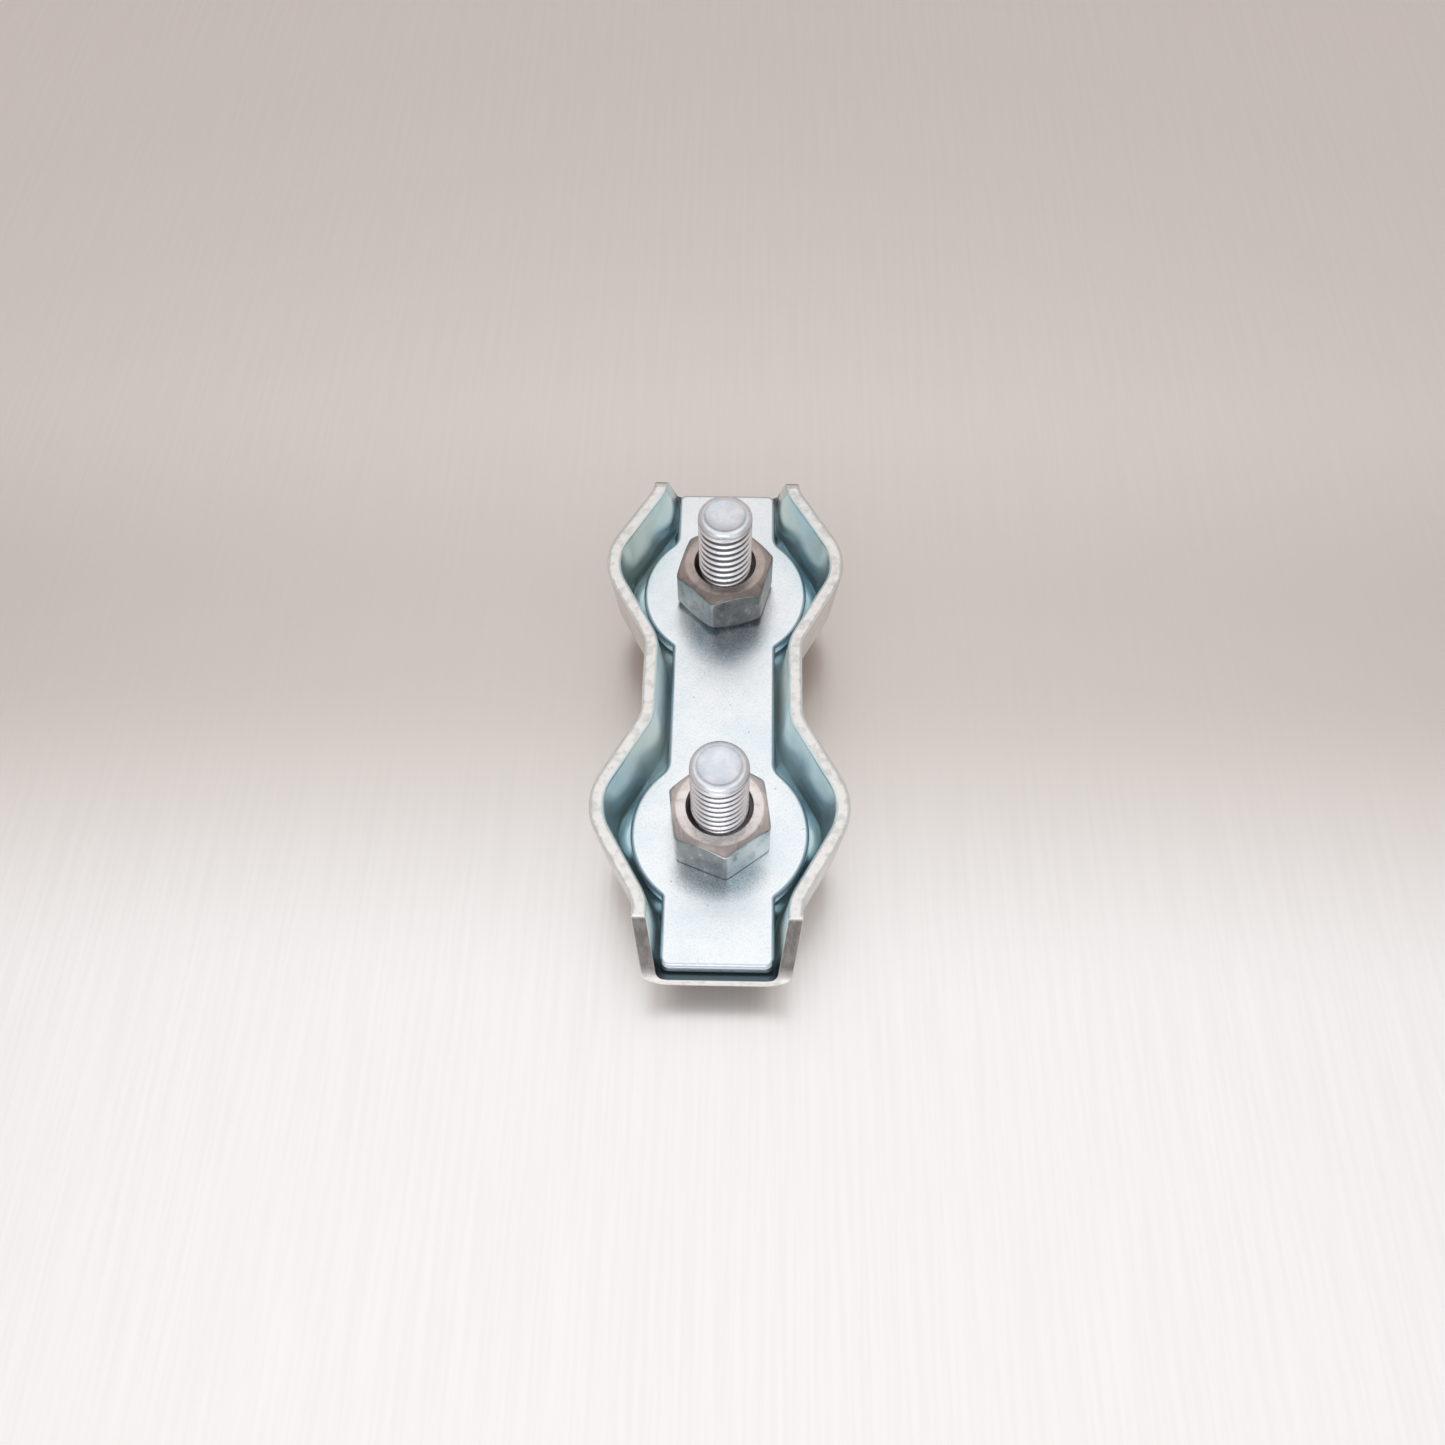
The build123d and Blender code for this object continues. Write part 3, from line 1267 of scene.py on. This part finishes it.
@dataclass
class HexNut:
    """A nut on the clamp plate.

    Each side of the hexagon gets its own tone, from 0 to 1, anticlockwise from the corner: painted light and
    shade, lighter on the sides that face the light.
    """

    end: str
    corner: float
    both_faces: bool
    finish: Finish
    facet_lights: tuple[float, ...]
    form: Hexagon = field(default_factory=Hexagon)
    thread: Thread = field(default_factory=Thread)
    bore: float = 2.45
    sink: float = 2.83
    groove: float = 0.25
    run_out: float = 0.3
    face_ring: float = 3.2
    foot_ring: float = 3.3
    # Share of the chamfer's painted shade on the sides away from the front.
    chamfer_side_shade: float = 0.08
    lip: float = 0.05
    chamfer_shares: tuple[float, ...] = (0.08, 0.35, 0.65, 0.95)
    foot_shares: tuple[float, ...] = (0.95, 0.5, 0.08)

    def make(self, material: bpy.types.Material) -> bpy.types.Object:
        """Draws the nut.

        Args:
            material: Its finish.

        Returns:
            The new piece.
        """
        node = f"nut_{self.end}"
        low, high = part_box(node)
        bolt_low, bolt_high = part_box(f"bolt_{self.end}")
        centre = (0.0, (bolt_low.y + bolt_high.y) / 2 / MM)
        bottom, top = low.z / MM, high.z / MM
        sketch = Sketch(marks=("edge", "rise", "slant", "sink", "pale"))
        form = self.form
        angles = form.angles()
        sides = [form.radius(a, self.corner) for a in angles]
        count = len(angles)

        def ring(
            radii: Sequence[float], levels: Sequence[float], slant: float = 0.0, **marks: float
        ) -> list[int]:
            """One ring of vertices, with a radius and a level for each direction.

            Args:
                radii: Distance from the axis in each direction.
                levels: Level in each direction.
                slant: How dark the chamfer is painted at its front, as painted shade.
                marks: The other marks.

            Returns:
                The ring.
            """
            return [
                sketch.dot((*turn(r, a, centre), z), pale=p, slant=slant * front, **marks)
                for r, a, z, p, front in zip(radii, angles, levels, facet_lights, front_shades)
            ]

        # Painted shade: the chamfer's dark tone is strongest on the front and faint on the other sides.
        front_shades = [self.chamfer_side_shade + (1 - self.chamfer_side_shade) * max(-sin(a), 0.0) for a in angles]
        facet_lights = [self.facet_lights[int((a - self.corner) // (pi / 3)) % 6] for a in angles]
        depth = self.sink - self.bore
        # The sink mark paints shade into the bore and the countersink.
        rings = [ring([self.bore] * count, [top - depth] * count, rise=1.0, sink=1.0)]
        rings.append(ring([self.sink - self.lip] * count, [top - self.lip] * count, rise=1.0, sink=0.9))
        rings.append(ring([self.sink] * count, [top] * count, edge=0.6, rise=1.0))
        rings.append(ring([self.sink + 0.06] * count, [top] * count, rise=1.0))
        rings.append(ring([self.face_ring] * count, [top] * count, rise=1.0, slant=0.15))
        rings.append(ring([form.chamfer_start - self.lip] * count, [top] * count, rise=1.0, slant=0.5))
        for share in self.chamfer_shares:
            radii = form.part_way(sides, share)
            rings.append(ring(radii, [top - form.drop(r) for r in radii], rise=1.0, slant=1.0))
        heads = [top - form.drop(side) - 0.04 for side in sides]
        rings.append(ring(sides, heads, edge=1.0))
        if self.both_faces:
            feet = [bottom + form.drop(side) + self.lip for side in sides]
        else:
            feet = [bottom + self.lip] * count
        for share in steps(0.06, 0.94, 7):
            rings.append(ring(sides, [h + (f - h) * share for h, f in zip(heads, feet)]))
        # Painted shade: a dark contact line along the foot of the sides.
        rings.append(ring(sides, feet, sink=0.8))
        if self.both_faces:
            for share in self.foot_shares:
                radii = form.part_way(sides, share)
                rings.append(ring(radii, [bottom + form.drop(r) for r in radii], edge=0.2))
        else:
            # Painted shade: a dark contact line along the foot.
            rings.append(ring([side - self.lip for side in sides], [bottom] * count, sink=0.8))
        rings.append(ring([self.foot_ring] * count, [bottom] * count))
        rings.append(ring([self.sink] * count, [bottom] * count))
        rings.append(ring([self.bore] * count, [bottom + depth] * count))
        sketch.stack(rings)
        self._bore(sketch, centre, bottom + depth, top - depth)
        piece = sketch.make(f"{self.end}_nut_hexagon", material)
        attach(piece, f"{self.end}_nut")
        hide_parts(node)
        return piece

    def _bore(self, sketch: Sketch, centre: tuple[float, float], bottom: float, top: float) -> None:
        """The threaded bore, as rows that climb with the thread.

        Args:
            sketch: The nut's mesh.
            centre: The nut's axis.
            bottom: Level where the thread starts.
            top: Level where it ends.
        """

        def add(angle: float, level: float, share: float) -> int:
            """One vertex, with the groove fading out at both ends."""
            fade = min(level - bottom, top - level, self.run_out) / self.run_out
            x, y = turn(self.bore + self.groove * share * fade, angle, centre)
            # The thread in the bore is darkened with painted shade.
            return sketch.dot((x, y, level), rise=0.5, sink=1.0)

        self.thread.wind(sketch, self.form.angles(), (bottom, top), add)


# ---------------------------------------------------------------- studio


@dataclass
class Studio:
    """Floor, light and camera."""

    lens: float = 35.05
    tilt: float = radians(59.03)
    swing: float = radians(-1.19)
    roll: float = radians(-0.12)
    stand: Point = (1.362, -66.135, 107.365)
    ceiling: tuple[float, float] = (0.55, 0.90)
    window: tuple[float, float] = (0.35, 0.9)
    dim: Point = (0.60, 0.54, 0.52)
    bright: Point = (1.04, 1.045, 1.05)
    floor_half: float = 900.0
    box_place: Point = (-0.06, -0.34, 0.30)
    box_size: tuple[float, float] = (0.30, 0.14)
    box_glow: float = 1.7

    def floor(self) -> None:
        """Lays the floor under the bolt heads."""
        half = self.floor_half * MM
        mesh = bpy.data.meshes.new("floor")
        corners = [(-half, -half, 0), (half, -half, 0), (half, half, 0), (-half, half, 0)]
        mesh.from_pydata(corners, [], [(0, 1, 2, 3)])
        mesh.materials.append(PaleFloor().material())
        piece = bpy.data.objects.new("floor", mesh)
        bpy.context.scene.collection.objects.link(piece)

    def camera(self, plate_top: float) -> None:
        """Sets up the camera.

        Args:
            plate_top: Level of the clamp plate's top, in metres, from which the camera's height is given.
        """
        forward = Vector((
            sin(self.swing) * cos(self.tilt),
            cos(self.swing) * cos(self.tilt),
            -sin(self.tilt),
        ))
        right = Vector((cos(self.swing), -sin(self.swing), 0.0))
        up = right.cross(forward)
        right, up = (
            right * cos(self.roll) + up * sin(self.roll),
            up * cos(self.roll) - right * sin(self.roll),
        )
        data = bpy.data.cameras.new("camera")
        data.lens = self.lens
        data.sensor_width = 36.0
        data.clip_start = 0.001
        data.clip_end = 20.0
        camera = bpy.data.objects.new("camera", data)
        place = Vector(self.stand) * MM + Vector((0.0, 0.0, plate_top))
        camera.matrix_world = Matrix.Translation(place) @ Matrix((right, up, -forward)).transposed().to_4x4()
        bpy.context.scene.collection.objects.link(camera)
        bpy.context.scene.camera = camera

    def lamp(self, name: str, place: Point, size: tuple[float, float], glow: float) -> None:
        """Hangs one soft box that faces the clip.

        Args:
            name: The lamp's name.
            place: Where it hangs, in metres.
            size: Width and height, in metres.
            glow: Brightness of its face, where the bright part of the room is about 1.
        """
        data = bpy.data.lights.new(name, "AREA")
        data.shape = "RECTANGLE"
        data.size, data.size_y = size
        data.energy = glow * pi * size[0] * size[1]
        data.color = (1.0, 1.0, 1.0)
        lamp = bpy.data.objects.new(name, data)
        facing = -Vector(place)
        lamp.matrix_world = Matrix.Translation(place) @ facing.to_track_quat("-Z", "Y").to_matrix().to_4x4()
        bpy.context.scene.collection.objects.link(lamp)

    def light(self) -> None:
        """Sets the soft studio light: bright overhead and in front, dimmer low down behind."""
        world = bpy.data.worlds.new("studio")
        sky = Shader(world)
        overhead = sky.z.between(*self.ceiling)
        front = (0 - sky.y).between(*self.window)
        colour = sky.mix(overhead.largest(front * 0.7), self.dim, self.bright)
        glow = sky.node("ShaderNodeBackground", {}, {"Color": colour, "Strength": 1.0})
        sky.node("ShaderNodeOutputWorld", {}, {"Surface": glow.outputs[0]})
        bpy.context.scene.world = world
        self.lamp("front_box", self.box_place, self.box_size, self.box_glow)
        bpy.context.scene.view_settings.view_transform = "Standard"


def main() -> None:
    """Builds the clip piece by piece, then the studio."""
    logging.basicConfig(level=logging.INFO, format="%(message)s")
    finishes = {finish: finish.write() for finish in Finish}
    made = [
        Saddle().make(finishes[Finish.SHEET]),
        ClampPlate().make(finishes[Finish.PLATE]),
        HexBolt("front").make(finishes[Finish.BOLT]),
        HexBolt("rear").make(finishes[Finish.BOLT]),
        HexNut(
            end="front",
            corner=radians(-82.4),
            both_faces=False,
            finish=Finish.PALE_NUT,
            facet_lights=(1.0, 0.6, 0.8, 0.5, 0.7, 0.15),
        ).make(finishes[Finish.PALE_NUT]),
        HexNut(
            end="rear",
            corner=radians(-104.6),
            both_faces=True,
            finish=Finish.BROWN_NUT,
            facet_lights=(0.3, 0.1, 0.5, 0.2, 0.4, 1.0),
        ).make(finishes[Finish.BROWN_NUT]),
    ]
    for piece in made:
        LOG.info("made %s with %d faces", piece.name, len(piece.data.polygons))
    studio = Studio()
    studio.floor()
    studio.light()
    studio.camera(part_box("clamp_plate")[1].z)


if __name__ == "__main__":
    main()
